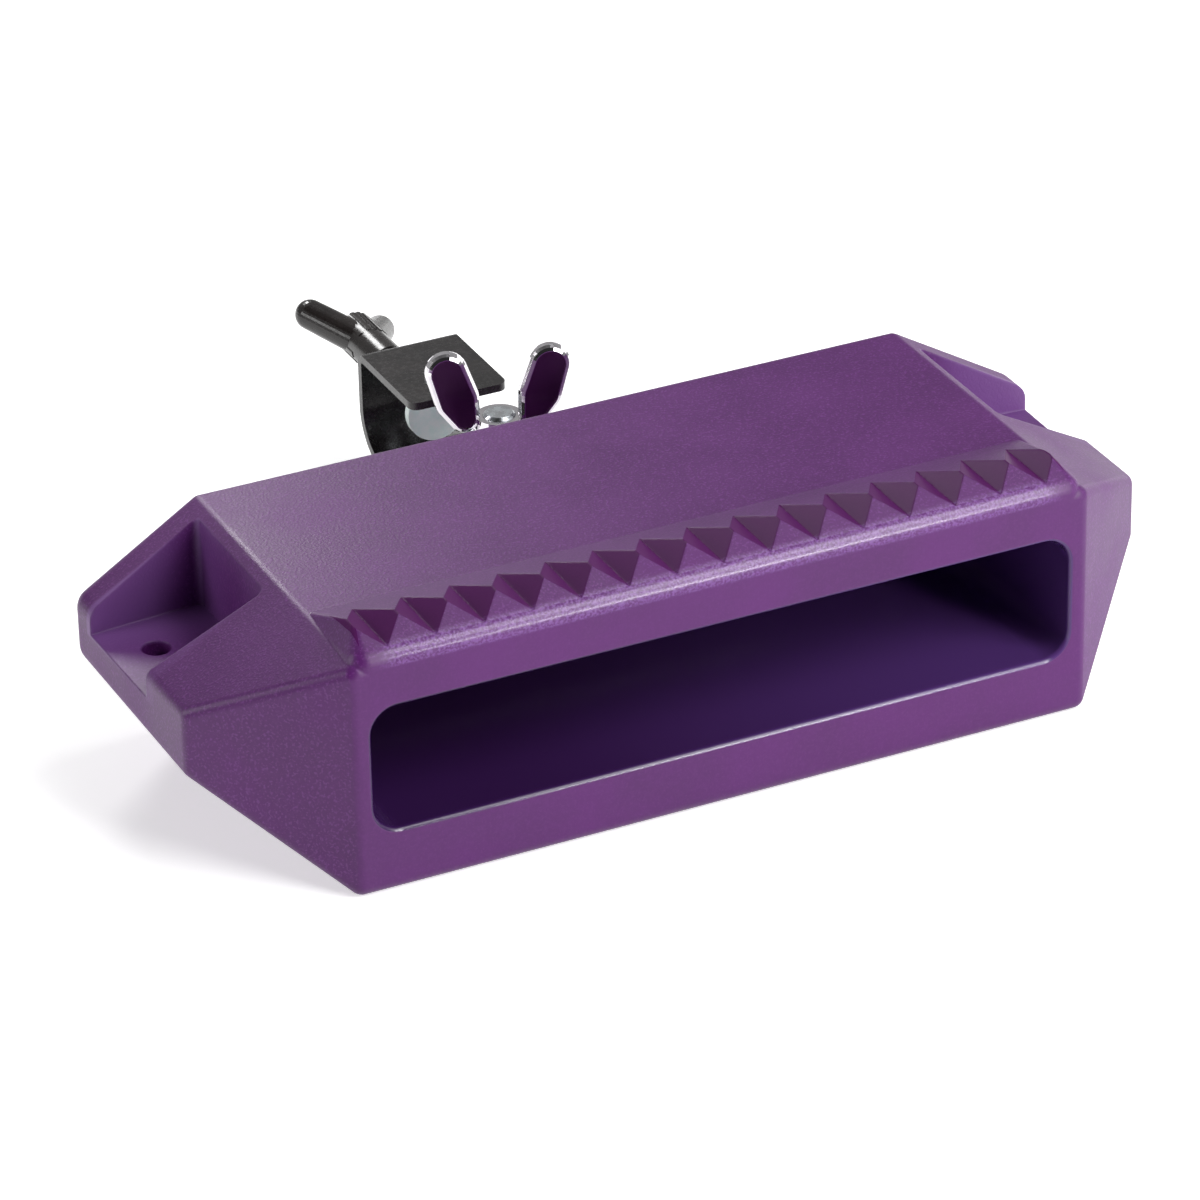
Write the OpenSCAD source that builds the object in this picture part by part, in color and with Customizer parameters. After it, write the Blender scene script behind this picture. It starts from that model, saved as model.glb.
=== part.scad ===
// Mountable percussion block: a moulded sounding block with a notched ridge,
// carried at the back by a swivelling rod clamp.
// +X runs along the block, +Y goes from the struck front to the back, +Z is up.
// The origin is the middle of the block's base.

/* [Block] */
// Width of the flat front face
front_w = 184; // [180:1:230]
// Distance of each end face beyond the side of the front face
end_reach = 29.5; // [24:0.5:45]
// Depth from the front face to the back wall
depth = 94; // [90:1:120]
// Height of the flat top
top_h = 59; // [56:0.5:75]
// Distance of each end of the flat top inside the side of the front face
top_inset = 1; // [0.5:0.1:4]
// Height where the lower slopes of the ends stop
end_low = 25.2; // [16:0.1:30]
// Height where the upper slopes of the ends start
end_high = 41.3; // [36:0.1:46]
// Distance that each end face leans outwards on its way to the back
end_lean = 1.1; // [0:0.1:3]
// Rounding of the end faces at the back of the block
end_back_r = 5; // [1:0.5:8]
// Depth of the slanted corner facets beside the front face
corner_d = 28.5; // [20:0.5:40]
// Rounding of the outer edges
edge_r = 3; // [1:0.5:4]

/* [Ridge] */
// Height of the front edge of the ridge above the flat top
ridge_front_rise = 1.4; // [0.5:0.1:2]
// Height of the crest of the ridge above the flat top
crest_rise = 6; // [4.5:0.1:10]
// Distance of the crest behind the front face
crest_y = 10; // [8:0.5:14]
// Distance of the back foot of the ridge behind the front face
ridge_back_y = 29.5; // [24:0.5:36]
// Distance of each end of the crest inside the side of the front face
crest_inset = 4; // [2:0.5:12]
// Rounding along the front edge of the ridge
ridge_front_r = 4.5; // [3:0.5:6]
// Rounding along the crest
crest_r = 1.5; // [0.8:0.1:2.5]
// Number of notches in the ridge
notch_count = 15; // [9:1:15]
// Distance of the row of notches inside each side of the front face
notch_margin = 3.5; // [2:0.5:12]
// Height of the bottom of the notches above the flat top
notch_rise = 2.3; // [2.1:0.1:4]
// Half of the opening angle of a notch, in degrees
notch_half_angle = 60; // [45:1:65]

/* [Chamber] */
// Distance of each end of the slot inside the side of the front face
slot_margin = 4; // [3.5:0.5:16]
// Height of the slot
slot_h = 31; // [20:0.5:34]
// Height of the lower edge of the slot above the table
slot_z = 16; // [12:0.5:20]
// Corner radius of the slot
slot_r = 6.5; // [3:0.5:9]
// Thickness of the back wall behind the sounding chamber
back_wall = 14; // [10:0.5:24]
// Rounding of the lip of the slot
lip_r = 1.2; // [0.5:0.1:1.8]

/* [End pockets] */
// Thickness of the wall between the sounding chamber and a pocket
pocket_wall = 5.8; // [5:0.1:9]
// Height of the sill that a pocket leaves open at the top of the end face
pocket_sill = 6.3; // [4:0.1:8]
// Distance of a pocket's front wall behind the corner facet, at its inner end
pocket_front_in = 16.5; // [8:0.1:20]
// Distance of a pocket's front wall behind the corner facet, at the end face
pocket_front_out = 21; // [14:0.1:30]
// Distance of a pocket's back wall from the back of the block, at its inner end
pocket_back_in = 9.2; // [7:0.1:14]
// Distance of a pocket's back wall from the back of the block, at the end face
pocket_back_out = 11.8; // [8:0.1:16]
// Radius of the upright corners of a pocket
pocket_r = 2; // [1:0.5:5]
// Distance of the mounting holes from the end faces
hole_inset = 10.2; // [8:0.1:13]
// Diameter of the mounting holes
hole_d = 7; // [5:0.1:8.5]

/* [Lug] */
// Distance of the pivot behind the back wall
pivot_reach = 29; // [27:0.5:34]
// Radius of the round end of the lug
lug_r = 9; // [8:0.5:12]
// Height of the underside of the lug
lug_low = 15; // [14:0.5:20]
// Height of the top of the lug
lug_high = 35.8; // [33:0.1:42]
// Width of the root of the lug on the back wall
lug_root_w = 36; // [24:1:44]
// Outer diameter of the steel sleeve in the lug
sleeve_d = 12; // [11:0.5:13]

/* [Bracket] */
// Width of the bracket strip
strip_w = 26; // [24:0.5:30]
// Thickness of the bracket strip
strip_t = 2; // [1.5:0.1:2.4]
// Height of the top of the upper flange
flange_high = 39.7; // [38.5:0.1:44]
// Width of metal left on the upper flange in front of the rod
flange_margin = 3.8; // [2:0.1:5]
// Corner radius of the upper flange
flange_corner_r = 2.5; // [1:0.5:6]
// Outer radius of the bend between the upper flange and the web
upper_bend_r = 3; // [2.5:0.5:6]
// Outer radius of the bend between the web and the lower arm
lower_bend_r = 13; // [6:0.5:14]
// Diameter of the rod that the clamp is made for
rod_d = 9.5; // [8:0.1:10]
// Clearance between the rod and its holes, on the diameter
rod_clearance = 0.7; // [0.3:0.1:1]
// Distance of the rod behind the pivot
rod_reach = 32; // [30.5:0.5:36]
// Distance from the rod to the outer face of the web
rod_to_web = 24; // [20:0.5:28]

/* [Pivot bolt and wing nut] */
// Thread diameter of the bolt and of the clamp screw
thread_d = 8; // [6:0.5:8.5]
// Diameter of the round bolt head
bolt_head_d = 19; // [16:0.5:22]
// Height of the round bolt head
bolt_head_h = 4.4; // [3:0.1:5]
// Length of bolt that stands out of the wing nut
bolt_end_l = 0.8; // [0.5:0.1:4]
// Thickness of the friction washer under the lug
friction_t = 1; // [0.5:0.1:1.5]
// Diameter of the flat washer and of the friction washer
washer_d = 18; // [16:0.5:22]
// Thickness of the flat washer
washer_t = 1.6; // [1:0.1:2]
// Outer diameter of the lock washer
lock_d = 14; // [12.5:0.1:16]
// Thickness of the lock washer
lock_t = 1.6; // [1.2:0.1:2.4]
// Gap between the ends of the split lock washer
lock_gap = 1.4; // [0.8:0.1:2.5]
// Diameter of the foot of the wing nut
nut_foot_d = 13; // [12:0.5:16]
// Diameter of the top of the wing nut's hub
nut_top_d = 11.5; // [10.5:0.5:14]
// Height of the wing nut's hub
nut_h = 5.3; // [4.5:0.1:8]
// Overall span of the wings
nut_span = 35.6; // [33:0.1:40]
// Height of the wings above the foot of the nut
nut_wing_h = 23.4; // [21:0.1:28]
// Width of a wing at its tip
nut_wing_w = 10.4; // [8:0.1:13]
// Width of a wing at its middle
nut_middle_w = 11; // [9:0.1:13]
// Height of the middle of a wing above the foot of the nut
nut_middle_h = 10.6; // [9:0.1:13]
// Distance between the middles of the two wings
nut_middle_span = 20.5; // [19:0.1:24]
// Width of a wing at its root
nut_root_w = 7.7; // [6:0.1:9]
// Distance between the two wing roots
nut_root_span = 16.9; // [15:0.1:19]
// Height of the underside of the wings above the foot of the nut
nut_wing_low = 1.6; // [0.5:0.1:2.5]
// Thickness of a wing
nut_wing_t = 4.3; // [3:0.1:5]
// Width of the raised rim around a wing
nut_rim_w = 1.5; // [1:0.1:2.5]
// Depth of the dished faces of a wing
nut_dish = 0.6; // [0.3:0.1:1]
// Angle by which the wing nut is turned at rest, in degrees
nut_turn = -16; // [-90:1:90]

/* [Rod clamp screw] */
// Distance of the clamp screw below the top of the upper flange
screw_drop = 11.5; // [10.2:0.1:13]
// Diameter of the pressure pad
pad_d = 15.4; // [12:0.1:16]
// Thickness of the pressure pad
pad_t = 2.2; // [1.8:0.1:3]
// Gap between the pad and the rod holes at rest
pad_gap = 0.5; // [0.3:0.1:3]
// Diameter of the spigot of the screw that carries the pad
tip_d = 5; // [4:0.1:5.5]
// Width across the flats of the nut welded to the web
weld_nut_af = 13; // [11:0.5:15]
// Thickness of the welded nut
weld_nut_t = 6.5; // [5:0.5:8]
// Length of bare thread between the welded nut and the handle
bare_thread = 4.5; // [4:0.5:20]
// Overall length of the handle
handle_l = 31.4; // [28:0.1:36]
// Length of the hub of the handle
handle_hub_l = 22; // [18:0.5:24]
// Diameter of the hub of the handle
handle_hub_d = 10.2; // [9.6:0.1:14]
// Overall span of the handle
handle_span = 28.6; // [26:0.1:40]
// Diameter of the round tip of an arm of the handle
handle_tip_d = 7.8; // [6:0.1:10]
// Diameter of an arm of the handle at its root
handle_root_d = 8.4; // [7:0.1:9.5]
// Distance of the root of the arms behind the front of the handle
handle_root_l = 14; // [8:0.5:16]
// Number of grip ribs on each side of the hub
grip_rib_count = 6; // [2:1:6]
// Width of a grip rib
grip_rib_w = 0.9; // [0.5:0.1:1.2]
// Height by which the grip ribs stand out of the hub
grip_rib_h = 0.2; // [0.1:0.1:0.5]
// Angle by which the handle is turned at rest, in degrees
handle_turn = 25; // [-90:1:90]

/* [Hidden] */

// Facets of round bodies, and of the balls and discs that round a hull
$fn = 64;
ball_fn = 32;
rim_fn = 16;
// Overrun of every cut past the face that it opens
over = 0.5;
// Radial clearance of a running fit
run_clearance = 0.05;
// Radial clearance between the spigot of the screw and its socket in the pad
swivel_clearance = 0.08;
// Place of the mounting holes between the front and the back walls of the pockets
hole_share = 0.6133;
// Half width of the lug's flanks at the pivot, as a share of its round end's radius
lug_neck_share = 0.85;
// Height of the crown of the bolt head, as a share of the head's height
crown_share = 0.45;
// Chamfer on the end of a thread, as a share of its radius
thread_chamfer_share = 0.18;
// Depth of the spigot in the pad, as a share of the pad's thickness
spigot_share = 0.6;

half_front = front_w / 2;
half_len = half_front + end_reach;
half_back = half_len + end_lean;
half_top = half_front - top_inset;
half_crest = half_front - crest_inset;
ridge_front_h = top_h + ridge_front_rise;
crest_h = top_h + crest_rise;
notch_h = top_h + notch_rise;
notch_pitch = (front_w - 2 * notch_margin) / notch_count;
slot_w = front_w - 2 * slot_margin;
chamber_d = depth - back_wall;
pocket_x = slot_w / 2 + pocket_wall;
pocket_z = end_high - pocket_sill;
hole_x = half_len - hole_inset;
pivot_y = depth / 2 + pivot_reach;
web_reach = rod_reach + rod_to_web;
web_y = pivot_y + web_reach;
rod_y = pivot_y + rod_reach;
rod_hole_r = (rod_d + rod_clearance) / 2;
flange_front = rod_reach - rod_hole_r - flange_margin;
screw_z = flange_high - screw_drop;
thread_r = thread_d / 2;
run_r = thread_r + run_clearance;
arm_high = lug_low - friction_t;
arm_low = arm_high - strip_t;
washer_z = lug_high;
lock_z = washer_z + washer_t;
nut_z = lock_z + lock_t;
pad_y = rod_y + rod_hole_r + pad_gap;
handle_y = web_y + weld_nut_t + bare_thread;

// A ball whose poles and equator lie exactly at its radius
module ball(r) {
    rotate_extrude($fn = ball_fn)
        intersection() {
            circle(r, $fn = ball_fn);
            translate([0, -r]) square([r, 2 * r]);
        }
}

// A disc with a half-round rim, lying flat and centred
module rim_disc(r, t) {
    rotate_extrude($fn = ball_fn) {
        translate([0, -t / 2]) square([r - t / 2, t]);
        translate([r - t / 2, 0]) intersection() {
            circle(t / 2, $fn = rim_fn);
            translate([0, -t / 2]) square([t / 2, t]);
        }
    }
}

// A ring, from z = 0 up
module ring(r_out, r_in, h) {
    difference() {
        cylinder(h = h, r = r_out);
        translate([0, 0, -over]) cylinder(h = h + 2 * over, r = r_in);
    }
}

// A straight thread drawn at its outer radius, from z = 0 up, with a chamfered end
module stud(l) {
    chamfer = thread_r * thread_chamfer_share;
    cylinder(h = l - chamfer, r = thread_r);
    translate([0, 0, l - chamfer]) cylinder(h = chamfer, r1 = thread_r, r2 = thread_r - chamfer);
}

// A plane through a point, as its outward normal and its distance from the origin,
// drawn in by the rounding
function inner_plane(normal, point, r = edge_r) =
    [normal / norm(normal), normal * point / norm(normal) - r];

// The point where three planes meet
function meet(a, b, c) =
    (a[1] * cross(b[0], c[0]) + b[1] * cross(c[0], a[0]) + c[1] * cross(a[0], b[0]))
        / (a[0] * cross(b[0], c[0]));

// The end face and the slopes above and below it, drawn in by r
function end_face(r) =
    inner_plane([depth - corner_d, -end_lean, 0], [half_len, corner_d, 0], r);
function upper_slope(r) =
    inner_plane([top_h - end_high, 0, half_len - half_top], [half_top, 0, top_h], r);
function lower_slope(r) =
    inner_plane([end_low, 0, half_front - half_len], [half_front, 0, 0], r);

// The block as a hull of balls, each held by the three faces that meet at a corner.
// The back corners of the ends have a larger rounding.
module rounded_block() {
    front = inner_plane([0, -1, 0], [0, 0, 0]);
    back = inner_plane([0, 1, 0], [0, depth, 0]);
    bottom = inner_plane([0, 0, -1], [0, 0, 0]);
    top = inner_plane([0, 0, 1], [0, 0, top_h]);
    end = end_face(edge_r);
    facet = inner_plane([corner_d, half_front - half_len, 0], [half_front, 0, 0]);
    lower = lower_slope(edge_r);
    upper = upper_slope(edge_r);
    end_in = end_face(end_back_r);
    back_in = inner_plane([0, 1, 0], [0, depth, 0], end_back_r);
    corners = [
        meet(front, bottom, facet), meet(back, bottom, lower),
        meet(end, facet, lower), meet(end, facet, upper),
        meet(top, back, upper), meet(top, front, upper), meet(front, facet, upper)
    ];
    end_corners = [
        meet(end_in, back_in, lower_slope(end_back_r)),
        meet(end_in, back_in, upper_slope(end_back_r))
    ];
    hull()
        for (flip = [0, 1]) mirror([flip, 0, 0]) {
            for (corner = corners) translate(corner) ball(edge_r);
            for (corner = end_corners) translate(corner) ball(end_back_r);
        }
}

// The raised ridge along the front edge, still without its notches
module ridge() {
    slope = (crest_h - ridge_front_h) / crest_y;
    front_x = half_front - ridge_front_r;
    front_z = ridge_front_h + slope * ridge_front_r
        - ridge_front_r * sqrt(1 + slope * slope);
    hull()
        for (side = [-1, 1]) {
            translate([side * front_x, ridge_front_r, front_z]) ball(ridge_front_r);
            translate([side * front_x, ridge_front_r, front_z - ridge_front_r])
                ball(ridge_front_r);
            translate([side * (half_crest - crest_r), crest_y, crest_h - crest_r])
                ball(crest_r);
            translate([side * (half_top - crest_r), ridge_back_y - crest_r, top_h - crest_r])
                ball(crest_r);
        }
}

// The V-shaped notches, each open towards the front, the back and the top
module notches() {
    rise = crest_h - notch_h + over;
    reach = rise * tan(notch_half_angle);
    for (i = [0 : notch_count - 1])
        translate([(i - (notch_count - 1) / 2) * notch_pitch, ridge_back_y, notch_h])
            rotate([90, 0, 0]) linear_extrude(ridge_back_y + over)
                polygon([[0, 0], [reach, rise], [-reach, rise]]);
}

// Outline of the slot, centred
module slot_outline() {
    edge_x = slot_w / 2 - slot_r;
    edge_z = slot_h / 2 - slot_r;
    square([2 * edge_x, slot_h], center = true);
    square([slot_w, 2 * edge_z], center = true);
    for (x = [-edge_x, edge_x], z = [-edge_z, edge_z])
        translate([x, z]) circle(slot_r);
}

// One straight run of a section that follows the rim of the slot
module slot_run(reach, l) {
    translate([reach, 0, 0]) rotate([90, 0, 0]) linear_extrude(l, center = true) children();
}

// A section swept round the rim of the slot; its x points away from the opening
module around_slot() {
    edge_x = slot_w / 2 - slot_r;
    edge_z = slot_h / 2 - slot_r;
    for (flip = [0, 1]) {
        mirror([flip, 0, 0]) slot_run(slot_w / 2, 2 * edge_z) children();
        mirror([0, flip, 0]) rotate([0, 0, 90]) slot_run(slot_h / 2, 2 * edge_x) children();
        for (side = [0, 1])
            mirror([flip, 0, 0]) mirror([0, side, 0]) translate([edge_x, edge_z, 0])
                rotate_extrude(angle = 90) translate([slot_r, 0]) children();
    }
}

// What the rounded lip takes off the edge of the slot
module lip_section() {
    difference() {
        translate([-over, -lip_r]) square([lip_r + over, lip_r + over]);
        translate([lip_r, -lip_r]) circle(lip_r);
    }
}

// The sounding chamber, with a rounded far end and a rounded lip, opening along +Z
module chamber() {
    edge_x = slot_w / 2 - slot_r;
    edge_z = slot_h / 2 - slot_r;
    translate([0, 0, slot_r - chamber_d]) {
        linear_extrude(chamber_d - slot_r + over) slot_outline();
        hull()
            for (x = [-edge_x, edge_x], z = [-edge_z, edge_z])
                translate([x, z, 0]) ball(slot_r);
    }
    around_slot() lip_section();
}

// Distance of a pocket's front and back walls behind the front face, at the distance x
function pocket_share(x) = (x - pocket_x) / (half_len - pocket_x);
function pocket_front(x) =
    corner_d + pocket_front_in + (pocket_front_out - pocket_front_in) * pocket_share(x);
function pocket_back(x) =
    depth - pocket_back_in - (pocket_back_out - pocket_back_in) * pocket_share(x);

// The pocket at the +X end, from its floor up; its outline runs on past the end face
module pocket() {
    past_x = half_back + edge_r;
    translate([0, 0, pocket_z]) linear_extrude(top_h)
        offset(r = pocket_r) offset(delta = -pocket_r)
            polygon([
                [pocket_x, pocket_front(pocket_x)], [pocket_x, pocket_back(pocket_x)],
                [past_x, pocket_back(past_x)], [past_x, pocket_front(past_x)]
            ]);
}

// The hole in the floor of that pocket
module end_hole() {
    hole_y = pocket_front(hole_x) + (pocket_back(hole_x) - pocket_front(hole_x)) * hole_share;
    translate([hole_x, hole_y, 0]) cylinder(h = top_h, r = hole_d / 2);
}

// The lug seen from above, rooted in the back wall; its flanks run into the round end
module lug_outline() {
    root = lug_root_w / 2;
    neck = lug_r * lug_neck_share;
    translate([0, pivot_y]) circle(lug_r);
    polygon([
        [-root, depth / 2 - edge_r], [root, depth / 2 - edge_r], [root, depth / 2],
        [neck, pivot_y], [-neck, pivot_y], [-root, depth / 2]
    ]);
}

// The moulding is drawn from its front face back, then moved onto the origin
module block_body() {
    color("rebeccapurple") difference() {
        union() {
            translate([0, -depth / 2, 0]) {
                rounded_block();
                ridge();
            }
            translate([0, 0, lug_low]) linear_extrude(lug_high - lug_low) lug_outline();
        }
        translate([0, -depth / 2, 0]) {
            notches();
            translate([0, 0, slot_z + slot_h / 2]) rotate([90, 0, 0]) chamber();
            for (flip = [0, 1]) mirror([flip, 0, 0]) {
                pocket();
                end_hole();
            }
        }
        translate([0, pivot_y, lug_low - over])
            cylinder(h = lug_high - lug_low + 2 * over, r = sleeve_d / 2);
    }
}

module lug_sleeve() {
    color("silver") translate([0, pivot_y, lug_low])
        ring(sleeve_d / 2, run_r, lug_high - lug_low);
}

// A quarter of a bend in the strip, from +X round to +Y
module bend(r) {
    intersection() {
        difference() {
            circle(r);
            circle(r - strip_t);
        }
        square([r, r]);
    }
}

// The strip seen from the side, x = distance from the pivot, y = height
module strip_section() {
    flange_y = web_reach - upper_bend_r;
    arm_y = web_reach - lower_bend_r;
    translate([flange_front, flange_high - strip_t])
        square([flange_y - flange_front, strip_t]);
    translate([flange_y, flange_high - upper_bend_r]) bend(upper_bend_r);
    translate([web_reach - strip_t, arm_low + lower_bend_r])
        square([strip_t, flange_high - upper_bend_r - arm_low - lower_bend_r]);
    translate([arm_y, arm_low + lower_bend_r]) mirror([0, 1]) bend(lower_bend_r);
    translate([0, arm_low]) square([arm_y, strip_t]);
}

// What the upper flange keeps of a sharp front corner: everything but the rounding
module flange_corner() {
    difference() {
        translate([-over, -over])
            square([flange_corner_r + over, flange_corner_r + over]);
        translate([flange_corner_r, flange_corner_r]) circle(flange_corner_r);
    }
}

module clamp_bracket() {
    color("dimgray") translate([0, pivot_y, 0]) difference() {
        union() {
            translate([strip_w / 2, 0, 0]) rotate([90, 0, -90]) mirror([1, 0, 0])
                linear_extrude(strip_w) strip_section();
            translate([0, 0, arm_low]) cylinder(h = strip_t, r = strip_w / 2);
        }
        for (flip = [0, 1]) mirror([flip, 0, 0])
            translate([-strip_w / 2, flange_front, flange_high - 2 * strip_t])
                linear_extrude(3 * strip_t) flange_corner();
        translate([0, 0, arm_low - over]) cylinder(h = strip_t + 2 * over, r = run_r);
        translate([0, rod_reach, arm_low - over])
            cylinder(h = flange_high - arm_low + 2 * over, r = rod_hole_r);
        translate([0, web_reach + over, screw_z]) rotate([90, 0, 0])
            cylinder(h = strip_t + 2 * over, r = run_r);
    }
}

module weld_nut() {
    color("gray") translate([0, web_y + weld_nut_t, screw_z]) rotate([90, 0, 0])
        difference() {
            cylinder(h = weld_nut_t, r = weld_nut_af / 2 / cos(30), $fn = 6);
            translate([0, 0, -over]) cylinder(h = weld_nut_t + 2 * over, r = run_r);
        }
}

// The round head has a flat rim and a low crown below it
module pivot_bolt() {
    crown = bolt_head_h * crown_share;
    head_r = bolt_head_d / 2;
    crown_r = (head_r * head_r + crown * crown) / (2 * crown);
    color("silver") translate([0, pivot_y, arm_low]) {
        stud(nut_z + nut_h + bolt_end_l - arm_low);
        translate([0, 0, crown - bolt_head_h])
            cylinder(h = bolt_head_h - crown, r = head_r);
        translate([0, 0, crown - bolt_head_h]) mirror([0, 0, 1]) rotate_extrude()
            intersection() {
                translate([0, crown - crown_r]) circle(crown_r, $fn = 4 * $fn);
                square([head_r, crown]);
            }
    }
}

module friction_washer() {
    color("darkslategray") translate([0, pivot_y, arm_high])
        ring(washer_d / 2, run_r, friction_t);
}

module flat_washer() {
    color("gainsboro") translate([0, pivot_y, washer_z]) ring(washer_d / 2, run_r, washer_t);
}

module lock_washer() {
    color("lightgray") translate([0, pivot_y, lock_z]) difference() {
        ring(lock_d / 2, run_r, lock_t);
        translate([0, -lock_gap / 2, -over]) cube([lock_d, lock_gap, lock_t + 2 * over]);
    }
}

// Radii and centres of the three rounds that a wing is drawn through: tip, middle, root
wing_radii = [nut_wing_w / 2, nut_middle_w / 2, nut_root_w / 2];
wing_centres = [
    [nut_span / 2 - wing_radii[0], nut_wing_h - wing_radii[0]],
    [nut_middle_span / 2, nut_middle_h],
    [nut_root_span / 2, nut_wing_low + wing_radii[2]]
];

// One wing with a rounded edge and a dished face on either side
module wing() {
    rotate([90, 0, 0]) difference() {
        hull()
            for (i = [0 : 2]) translate(wing_centres[i]) rim_disc(wing_radii[i], nut_wing_t);
        for (flip = [0, 1]) mirror([0, 0, flip])
            translate([0, 0, nut_wing_t / 2 - nut_dish]) linear_extrude(nut_wing_t)
                hull()
                    for (i = [0 : 2]) translate(wing_centres[i])
                        circle(wing_radii[i] - nut_rim_w, $fn = ball_fn);
    }
}

module wing_nut() {
    color("gainsboro") translate([0, pivot_y, nut_z]) rotate([0, 0, nut_turn])
        difference() {
            union() {
                cylinder(h = nut_h, r1 = nut_foot_d / 2, r2 = nut_top_d / 2);
                for (flip = [0, 1]) mirror([flip, 0, 0]) wing();
            }
            translate([0, 0, -over]) cylinder(h = nut_h + 2 * over, r = run_r);
        }
}

// The screw turns in the welded nut; its thin spigot sits in the back of the pad
module clamp_screw() {
    back_y = pad_y + pad_t;
    color("silver") translate([0, 0, screw_z]) {
        translate([0, back_y, 0]) rotate([-90, 0, 0])
            cylinder(h = handle_y + handle_hub_l / 2 - back_y, r = thread_r);
        translate([0, back_y + over, 0]) rotate([90, 0, 0])
            cylinder(h = pad_t * spigot_share + over, r = tip_d / 2);
    }
}

module pressure_pad() {
    color("honeydew") translate([0, pad_y + pad_t, screw_z]) rotate([90, 0, 0])
        difference() {
            cylinder(h = pad_t, r = pad_d / 2);
            translate([0, 0, -over])
                cylinder(h = pad_t * spigot_share + over + swivel_clearance,
                    r = tip_d / 2 + swivel_clearance);
        }
}

// Straight ribs along the outer half of the handle's hub
module grip_ribs() {
    rib_step = handle_hub_d / grip_rib_count;
    rib_l = handle_hub_l / 2;
    intersection() {
        translate([0, 0, rib_l]) cylinder(h = rib_l, r = handle_hub_d / 2 + grip_rib_h);
        for (i = [0 : grip_rib_count - 1])
            translate([(i - (grip_rib_count - 1) / 2) * rib_step, 0, rib_l * 3 / 2])
                cube([grip_rib_w, handle_hub_d + 2 * grip_rib_h, rib_l], center = true);
    }
}

// The handle's two round arms lean back from its hub
module wing_handle() {
    tip_r = handle_tip_d / 2;
    color([0.13, 0.13, 0.13]) translate([0, handle_y, screw_z]) rotate([0, handle_turn, 0])
        rotate([-90, 0, 0]) difference() {
            union() {
                cylinder(h = handle_hub_l, r = handle_hub_d / 2);
                for (side = [-1, 1])
                    hull() {
                        translate([0, 0, handle_root_l]) ball(handle_root_d / 2);
                        translate([side * (handle_span / 2 - tip_r), 0, handle_l - tip_r])
                            ball(tip_r);
                    }
                grip_ribs();
            }
            translate([0, 0, -over]) cylinder(h = handle_hub_l / 2 + over, r = thread_r);
        }
}

block_body();
lug_sleeve();
clamp_bracket();
weld_nut();
pivot_bolt();
friction_washer();
flat_washer();
lock_washer();
wing_nut();
clamp_screw();
wing_handle();
pressure_pad();
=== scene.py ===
"""Looks of a mountable percussion block with a swivelling rod clamp. Metres, +Z up."""
import math

import bpy
from mathutils import Matrix, Vector


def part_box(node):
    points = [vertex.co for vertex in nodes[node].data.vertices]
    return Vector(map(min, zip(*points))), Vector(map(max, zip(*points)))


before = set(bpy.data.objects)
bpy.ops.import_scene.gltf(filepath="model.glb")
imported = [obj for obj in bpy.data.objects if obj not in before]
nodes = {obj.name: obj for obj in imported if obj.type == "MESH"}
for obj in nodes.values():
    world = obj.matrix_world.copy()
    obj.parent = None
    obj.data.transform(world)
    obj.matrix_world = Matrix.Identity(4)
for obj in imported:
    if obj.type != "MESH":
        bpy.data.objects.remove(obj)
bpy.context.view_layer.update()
scene = bpy.context.scene

MM = 0.001
FRONT_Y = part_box("block_body")[0].y     # the struck front face


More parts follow.
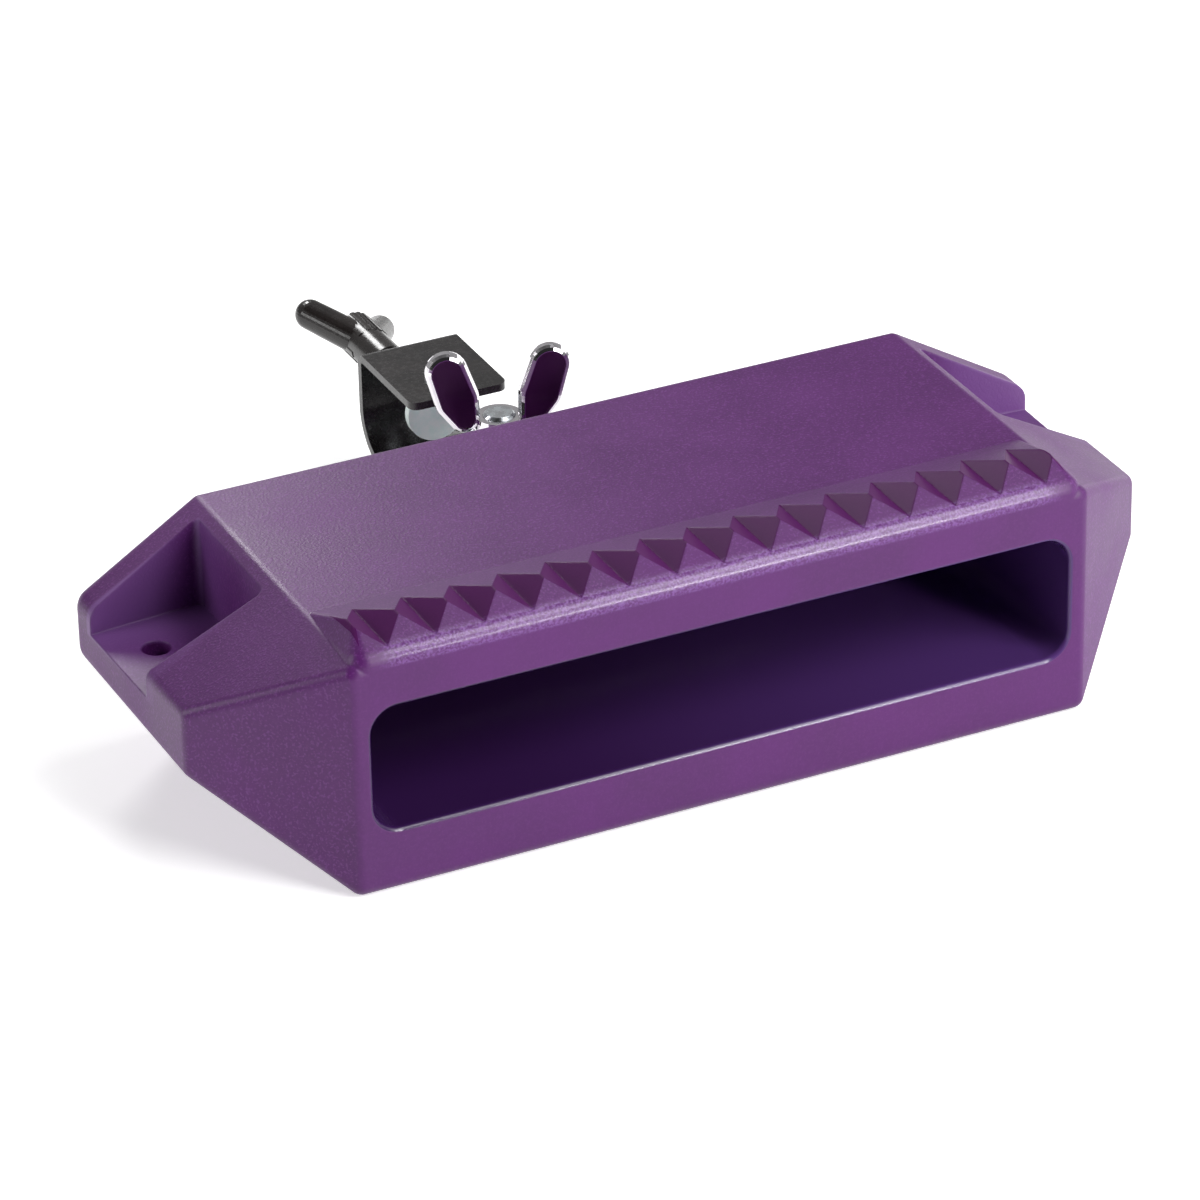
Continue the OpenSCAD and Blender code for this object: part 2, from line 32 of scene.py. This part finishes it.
# Node helpers
class Nodes:
    """A small builder for one material's node tree."""

    def __init__(self, name):
        self.mat = bpy.data.materials.new(name)
        self.mat.use_nodes = True
        self.tree = self.mat.node_tree
        self.tree.nodes.clear()
        self.out = self.new("ShaderNodeOutputMaterial")
        self.bsdf = self.new("ShaderNodeBsdfPrincipled")
        self.link(self.bsdf.outputs[0], self.out.inputs["Surface"])

    def new(self, kind):
        return self.tree.nodes.new(kind)

    def link(self, a, b):
        self.tree.links.new(a, b)

    def feed(self, socket, value):
        """Link a socket, or set it where the value is a number or a colour."""
        if isinstance(value, (int, float)):
            socket.default_value = value
        elif isinstance(value, tuple):
            socket.default_value = value if len(value) == len(socket.default_value) else value[:3]
        else:
            self.link(value, socket)

    def shade(self, **values):
        """Feed the shader's sockets, named with _ for each space."""
        for key, value in values.items():
            self.feed(self.bsdf.inputs[key.replace("_", " ")], value)

    def coords(self):
        return self.new("ShaderNodeTexCoord").outputs["Object"]

    def millimetres(self):
        """The piece's own x, y and z, in millimetres."""
        n = self.new("ShaderNodeSeparateXYZ")
        self.link(self.coords(), n.inputs[0])
        return [self.math("DIVIDE", axis, MM) for axis in n.outputs]

    def noise(self, scale, detail, rough):
        n = self.new("ShaderNodeTexNoise")
        self.link(self.coords(), n.inputs["Vector"])
        for key, value in (("Scale", scale), ("Detail", detail), ("Roughness", rough)):
            n.inputs[key].default_value = value
        return n.outputs["Fac"]

    def math(self, op, a, b=0.0):
        n = self.new("ShaderNodeMath")
        n.operation = op
        self.feed(n.inputs[0], a)
        self.feed(n.inputs[1], b)
        return n.outputs[0]

    def above(self, value, limit):
        return self.math("GREATER_THAN", value, limit)

    def below(self, value, limit):
        return self.math("LESS_THAN", value, limit)

    def product(self, first, *others):
        for other in others:
            first = self.math("MULTIPLY", first, other)
        return first

    def ramp(self, value, low, high, to_low=0.0, to_high=1.0, smooth=True):
        n = self.new("ShaderNodeMapRange")
        n.interpolation_type = "SMOOTHSTEP" if smooth else "LINEAR"
        for key, v in zip(("Value", "From Min", "From Max", "To Min", "To Max"),
                          (value, low, high, to_low, to_high)):
            self.feed(n.inputs[key], v)
        return n.outputs[0]

    def fall(self, value, low, high):
        """A mask that is 1 below the low limit and 0 above the high one."""
        return self.ramp(value, low, high, 1.0, 0.0)

    def lerp(self, mask, a, b):
        """The number a where the mask is 0, and b where it is 1."""
        return self.ramp(mask, 0, 1, a, b, smooth=False)

    def mix(self, mask, a, b):
        """The colour a where the mask is 0, and b where it is 1."""
        n = self.new("ShaderNodeMix")
        n.data_type = "RGBA"
        self.feed(n.inputs[0], mask)
        self.feed(n.inputs[6], a)
        self.feed(n.inputs[7], b)
        return n.outputs[2]

    def dot(self, vector, direction):
        n = self.new("ShaderNodeVectorMath")
        n.operation = "DOT_PRODUCT"
        self.link(vector, n.inputs[0])
        n.inputs[1].default_value = direction
        return n.outputs["Value"]

    def facing(self, direction):
        """How far the face's own normal, in the piece's frame, lies along a direction."""
        turn = self.new("ShaderNodeVectorTransform")
        turn.vector_type = "NORMAL"
        turn.convert_from, turn.convert_to = "WORLD", "OBJECT"
        self.link(self.new("ShaderNodeNewGeometry").outputs["True Normal"], turn.inputs[0])
        return self.math("ABSOLUTE", self.dot(turn.outputs[0], direction))

    def soft_edges(self, radius):
        """Normals that round the edges a little, where they catch the light."""
        n = self.new("ShaderNodeBevel")
        n.samples = 6
        n.inputs["Radius"].default_value = radius
        return n.outputs[0]

    def bump(self, height, strength, distance, normal=None):
        n = self.new("ShaderNodeBump")
        self.feed(n.inputs["Strength"], strength)
        n.inputs["Distance"].default_value = distance
        self.link(height, n.inputs["Height"])
        if normal is not None:
            self.link(normal, n.inputs["Normal"])
        return n.outputs[0]


def srgb(r, g, b):
    """A colour given as 0..255 sRGB, as linear RGBA."""
    def lin(c):
        c /= 255
        return c / 12.92 if c <= 0.04045 else ((c + 0.055) / 1.055) ** 2.4
    return (lin(r), lin(g), lin(b), 1.0)


def dress(names, material):
    for name in names:
        mesh = nodes[name].data
        mesh.materials.clear()
        mesh.materials.append(material)


# The block's plastic. Places are in millimetres: out from the middle, behind the front face or
# above the base. A pair is where a soft edge starts and where it ends.
SLOT_LIP, SLOT_BACK = (0.02, 0.08), 81
SLOT_OUT, SLOT_LOW, SLOT_HIGH = 89.2, 14.8, 48.2
CHAMBER_ACROSS = (-60, 80)
FRONT_BEHIND = (0.2, 1.2)
NOTCH_TILT, NOTCH_LOW, NOTCH_OUT = 0.3, 60.5, 88.6
BROW_LOW, BROW_HIGH = (56.8, 57.8), (61.2, 62.2)
BROW_BEHIND, BROW_OUT = (3.2, 4.4), (80, 87)
POCKET_OUT, POCKET_LOW = (93.2, 94.2), (34, 34.8)
POCKET_FRONT, POCKET_BACK, POCKET_PAINTED_LIGHT_DEPTH = (44.5, 46.5), (83.5, 85), (62, 82)

VIOLET = srgb(80, 18, 94)
VIOLET_CLOUD = srgb(89, 23, 104)
VIOLET_SPECK = srgb(124, 62, 142)
VIOLET_MOTTLE = srgb(100, 38, 116)
# Painted light: a paler violet lightens the walls of the end pockets, more towards the back.
VIOLET_POCKET_PAINTED_LIGHT = srgb(118, 74, 140)
# Painted shade: a greyer, browner violet on the notch faces, for the weaker light they get.
VIOLET_NOTCH_PAINTED_SHADE = srgb(84, 34, 84)
# Painted highlight: a pale speckled lilac along the brow of the ridge, on top of its gloss.
VIOLET_BROW_PAINTED_HIGHLIGHT = srgb(140, 92, 168)
# Painted light and shade in the slot's chamber: paler than the outside, darker to the left,
# lighter to the right.
CHAMBER_PAINTED_SHADE_LEFT, CHAMBER_PAINTED_LIGHT_RIGHT = srgb(56, 27, 78), srgb(84, 52, 116)


def violet_plastic():
    """Satin plastic: fine moulded grain on top and round the ends, smooth on the front face and
    in the dull notches, glossier on the brow of the ridge, glossy in the slot and its chamber.
    Painted light and shade: a greyer, browner shade on the notch faces, a pale speckled
    highlight on the brow, light that pales the end pockets towards the back, and a chamber
    paler than the outside, darker to the left and lighter to the right."""
    n = Nodes("violet_plastic")
    x, y, z = n.millimetres()
    side = n.math("ABSOLUTE", x)
    behind = n.math("SUBTRACT", y, FRONT_Y / MM)

    inside = n.product(n.ramp(behind, *SLOT_LIP), n.below(behind, SLOT_BACK),
                       n.below(side, SLOT_OUT), n.above(z, SLOT_LOW), n.below(z, SLOT_HIGH))
    notch = n.product(n.above(n.facing((1, 0, 0)), NOTCH_TILT), n.above(z, NOTCH_LOW),
                      n.below(side, NOTCH_OUT))
    brow = n.product(n.ramp(z, *BROW_LOW), n.fall(z, *BROW_HIGH),
                     n.fall(behind, *BROW_BEHIND), n.fall(side, *BROW_OUT))
    # Where painted light pales the end pockets, growing from front to back.
    pocket = n.product(n.ramp(side, *POCKET_OUT), n.ramp(z, *POCKET_LOW),
                       n.ramp(behind, *POCKET_FRONT), n.fall(behind, *POCKET_BACK),
                       n.ramp(behind, *POCKET_PAINTED_LIGHT_DEPTH, 0.25, 0.9))
    smooth = n.math("MAXIMUM", n.fall(behind, *FRONT_BEHIND), notch)

    grain = n.noise(1700, 1.5, 0.5)
    fine = n.noise(700, 3.0, 0.6)
    cloud = n.noise(32, 4.0, 0.6)

    colour = n.mix(n.ramp(cloud, 0.3, 0.7), VIOLET, VIOLET_CLOUD)
    # Speck and mottle are the plastic's own grain; the pocket, notch, brow and chamber layers are
    # painted light and shade.
    for mask, layer in (
            (n.product(n.ramp(grain, 0.52, 0.7), n.ramp(smooth, 0, 1, 0.5, 0.1)), VIOLET_SPECK),
            (n.ramp(fine, 0.4, 0.8, 0.0, 0.3), VIOLET_MOTTLE),
            (pocket, VIOLET_POCKET_PAINTED_LIGHT),
            (n.product(notch, 0.7), VIOLET_NOTCH_PAINTED_SHADE),
            (n.product(brow, n.ramp(grain, 0.35, 0.65, 0.1, 0.6)), VIOLET_BROW_PAINTED_HIGHLIGHT),
            (inside, n.mix(n.ramp(x, *CHAMBER_ACROSS), CHAMBER_PAINTED_SHADE_LEFT, CHAMBER_PAINTED_LIGHT_RIGHT))):
        colour = n.mix(mask, colour, layer)

    rough = n.ramp(cloud, 0.3, 0.7, 0.42, 0.5)
    for mask, level in ((notch, 0.34), (brow, 0.25), (inside, 0.16)):
        rough = n.lerp(mask, rough, level)

    height = n.math("ADD", n.product(grain, 0.8), n.product(fine, 0.2))
    strength = n.lerp(inside, n.lerp(smooth, 0.6, 0.1), 0.0)
    n.shade(Base_Color=colour, Roughness=rough, Specular_IOR_Level=n.lerp(notch, 0.5, 0.04),
            Normal=n.bump(height, strength, 0.12 * MM, n.soft_edges(0.7 * MM)), IOR=1.5)
    return n.mat


SKIN = 0.05 * MM        # depth of the bump in metal and paint

# The wing nut's dished faces: millimetres, degrees, and how squarely a face looks across
PIVOT_BEHIND_MIDDLE = 76
WINGS_TURN, DISH_HALF, DISH_LOW, DISH_FACING = -16, 1.75, 41, 0.9


def chrome_plate():
    """Bright chrome, a little duller in the dished faces of the wings and darker there:
    painted shade for the dark surroundings that those faces reflect.
    """
    n = Nodes("chrome_plate")
    turn = math.radians(WINGS_TURN)
    across = (-math.sin(turn), math.cos(turn), 0)
    off_middle = n.math("SUBTRACT", n.math("DIVIDE", n.dot(n.coords(), across), MM),
                        across[1] * PIVOT_BEHIND_MIDDLE)
    dish = n.product(n.below(n.math("ABSOLUTE", off_middle), DISH_HALF),
                     n.above(n.facing(across), DISH_FACING),
                     n.above(n.millimetres()[2], DISH_LOW))
    wear = n.noise(300, 4.0, 0.6)
    bright = n.mix(n.ramp(wear, 0.35, 0.7), srgb(238, 235, 239), srgb(228, 225, 230))
    # Painted shade: the dished faces get a darker chrome colour, for the dark surroundings they
    # reflect.
    n.shade(Base_Color=n.mix(dish, bright, srgb(150, 138, 142)),
            Roughness=n.lerp(dish, n.ramp(wear, 0.3, 0.7, 0.04, 0.1), 0.14),
            Normal=n.bump(wear, 0.02, SKIN), Metallic=1.0)
    return n.mat


def metal(name, colour, rough, scale, bump, worn=None, metallic=1.0):
    """A plain or plated metal with slight wear; rough is a pair."""
    n = Nodes(name)
    wear = n.noise(scale, 4.0, 0.6)
    n.shade(Base_Color=n.mix(n.ramp(wear, 0.35, 0.7), colour, worn) if worn else colour,
            Roughness=n.ramp(wear, 0.3, 0.7, *rough),
            Normal=n.bump(wear, bump, SKIN), Metallic=metallic)
    return n.mat


def coated(name, colour, other, rough, scale, bump, deep=SKIN, shine=0.6):
    """A paint or plastic with a pebbled skin; rough is a pair."""
    n = Nodes(name)
    grain = n.noise(scale, 2.0, 0.5)
    cloud = n.noise(90, 3.0, 0.6)
    n.shade(Base_Color=n.mix(n.ramp(cloud, 0.3, 0.7), colour, other),
            Roughness=n.ramp(grain, 0.3, 0.7, *rough),
            Normal=n.bump(grain, bump, deep), IOR=1.5, Specular_IOR_Level=shine)
    return n.mat


dress(["block_body"], violet_plastic())
dress(["clamp_bracket", "weld_nut"],
      coated("black_enamel", srgb(27, 25, 26), srgb(38, 34, 35), (0.2, 0.3), 900, 0.12))
dress(["wing_handle"],
      coated("black_moulding", srgb(26, 22, 22), srgb(36, 31, 30), (0.2, 0.28), 1100, 0.2))
dress(["friction_washer"],
      coated("dark_fibre", srgb(45, 40, 36), srgb(62, 54, 48), (0.7, 0.85), 1300, 0.5,
             deep=0.08 * MM, shine=0.5))
dress(["wing_nut"], chrome_plate())
dress(["pivot_bolt", "flat_washer", "lock_washer", "clamp_screw"],
      metal("bright_zinc", srgb(205, 208, 212), (0.2, 0.34), 420, 0.06,
            worn=srgb(188, 194, 198)))
dress(["lug_sleeve"],
      metal("turned_steel", srgb(170, 172, 175), (0.25, 0.4), 420, 0.05))
dress(["pressure_pad"],
      metal("pale_zinc", srgb(242, 254, 250), (0.3, 0.45), 500, 0.05,
            worn=srgb(228, 250, 244), metallic=0.1))


# Camera
AZIMUTH, ELEVATION, ROLL = (math.radians(a) for a in (25.17, 28.68, -1.2))
TARGET = Vector((0, FRONT_Y + 41.4 * MM, 27.6 * MM))
DISTANCE = 1391.1 * MM
SHIFT_RIGHT, SHIFT_UP = 11.43 * MM, -4.60 * MM


def camera():
    """The photograph's view: azimuth, elevation and roll of the lens, fitted to the block."""
    back = Vector((-math.sin(AZIMUTH) * math.cos(ELEVATION),
                   -math.cos(AZIMUTH) * math.cos(ELEVATION), math.sin(ELEVATION)))
    level = Vector((math.cos(AZIMUTH), -math.sin(AZIMUTH), 0))
    upright = back.cross(level)
    right = math.cos(ROLL) * level + math.sin(ROLL) * upright
    up = -math.sin(ROLL) * level + math.cos(ROLL) * upright
    place = TARGET + DISTANCE * back - SHIFT_RIGHT * right - SHIFT_UP * up
    data = bpy.data.cameras.new("photo_camera")
    data.sensor_width = 36
    data.lens = 180
    data.clip_start = 0.01
    data.clip_end = 20
    obj = bpy.data.objects.new("photo_camera", data)
    scene.collection.objects.link(obj)
    turn = Matrix((right, up, back)).transposed()
    obj.matrix_world = Matrix.Translation(place) @ turn.to_4x4()
    scene.camera = obj


camera()

# Lights: name, place, width of the square, watts
LIGHTS = (
    ("front_high", (0.5, -0.9, 1.2), 0.7, 9),
    ("overhead", (0.42, 0.15, 1.1), 0.35, 2.0),
    ("front_right", (0.8, -1.0, 0.8), 0.7, 7),
    ("front_low", (0.55, -1.25, 0.38), 0.2, 7),
    ("right", (1.3, -0.3, 0.5), 0.7, 1.6),
    ("right_low", (0.9, 0.5, 0.15), 0.4, 1.0),
    ("left_low", (-0.5, 0.1, 0.2), 0.2, 0.6),
    ("behind", (0.0, 0.55, 0.38), 0.15, 1.5),
)
LIGHTS_AIM = Vector((0, 0, 0.03))


def area_light(name, place, width, watts):
    data = bpy.data.lights.new(name, "AREA")
    data.size = width
    data.energy = watts
    obj = bpy.data.objects.new(name, data)
    scene.collection.objects.link(obj)
    obj.location = place
    obj.rotation_euler = (LIGHTS_AIM - Vector(place)).to_track_quat("-Z", "Y").to_euler()
    obj.visible_camera = False


for light in LIGHTS:
    area_light(*light)

# The tent that reflections see: its dark side, and the strength away from it and towards it
TENT_DARK_SIDE = (-0.37, -0.79, 0.48)
TENT_FADE, TENT_STRENGTH = (0.2, 0.75), (0.42, 0.03)
DIFFUSE_STRENGTH, WHITE = 0.1, 1.0


def studio_world():
    """White to the lens, a dim white tent in reflections with its dark side at the lens."""
    world = bpy.data.worlds.new("studio")
    scene.world = world
    world.use_nodes = True
    tree = world.node_tree
    tree.nodes.clear()
    new, link = tree.nodes.new, tree.links.new
    back = new("ShaderNodeBackground")
    facing = new("ShaderNodeVectorMath")
    facing.operation = "DOT_PRODUCT"
    link(new("ShaderNodeTexCoord").outputs["Generated"], facing.inputs[0])
    facing.inputs[1].default_value = TENT_DARK_SIDE
    tent = new("ShaderNodeMapRange")
    tent.interpolation_type = "SMOOTHSTEP"
    link(facing.outputs["Value"], tent.inputs["Value"])
    for key, value in zip(("From Min", "From Max", "To Min", "To Max"),
                          TENT_FADE + TENT_STRENGTH):
        tent.inputs[key].default_value = value
    path = new("ShaderNodeLightPath")
    glossy, seen = new("ShaderNodeMix"), new("ShaderNodeMix")
    link(path.outputs["Is Glossy Ray"], glossy.inputs[0])
    glossy.inputs[2].default_value = DIFFUSE_STRENGTH
    link(tent.outputs[0], glossy.inputs[3])
    link(path.outputs["Is Camera Ray"], seen.inputs[0])
    link(glossy.outputs[0], seen.inputs[2])
    seen.inputs[3].default_value = WHITE
    link(seen.outputs[0], back.inputs["Strength"])
    link(back.outputs[0], new("ShaderNodeOutputWorld").inputs["Surface"])


studio_world()

FLOOR_HALF = 3.0
FLOOR_COLOUR = (0.93, 0.93, 0.93, 1)
FLOOR_GLOW = 0.5


def floor():
    """A pale floor that keeps the object's shadow and shows white to the lens."""
    mesh = bpy.data.meshes.new("floor")
    mesh.from_pydata([(x * FLOOR_HALF, y * FLOOR_HALF, 0)
                      for x, y in ((-1, -1), (1, -1), (1, 1), (-1, 1))], [], [(0, 1, 2, 3)])
    obj = bpy.data.objects.new("floor", mesh)
    scene.collection.objects.link(obj)
    n = Nodes("floor")
    n.shade(Base_Color=FLOOR_COLOUR, Roughness=0.9, Specular_IOR_Level=0.0)
    path = n.new("ShaderNodeLightPath")
    seen = n.math("MAXIMUM", path.outputs["Is Camera Ray"], path.outputs["Is Glossy Ray"])
    glow = n.new("ShaderNodeEmission")
    n.link(n.product(seen, FLOOR_GLOW), glow.inputs["Strength"])
    add = n.new("ShaderNodeAddShader")
    n.link(n.bsdf.outputs[0], add.inputs[0])
    n.link(glow.outputs[0], add.inputs[1])
    n.link(add.outputs[0], n.out.inputs["Surface"])
    mesh.materials.append(n.mat)


floor()

scene.view_settings.view_transform = "Standard"
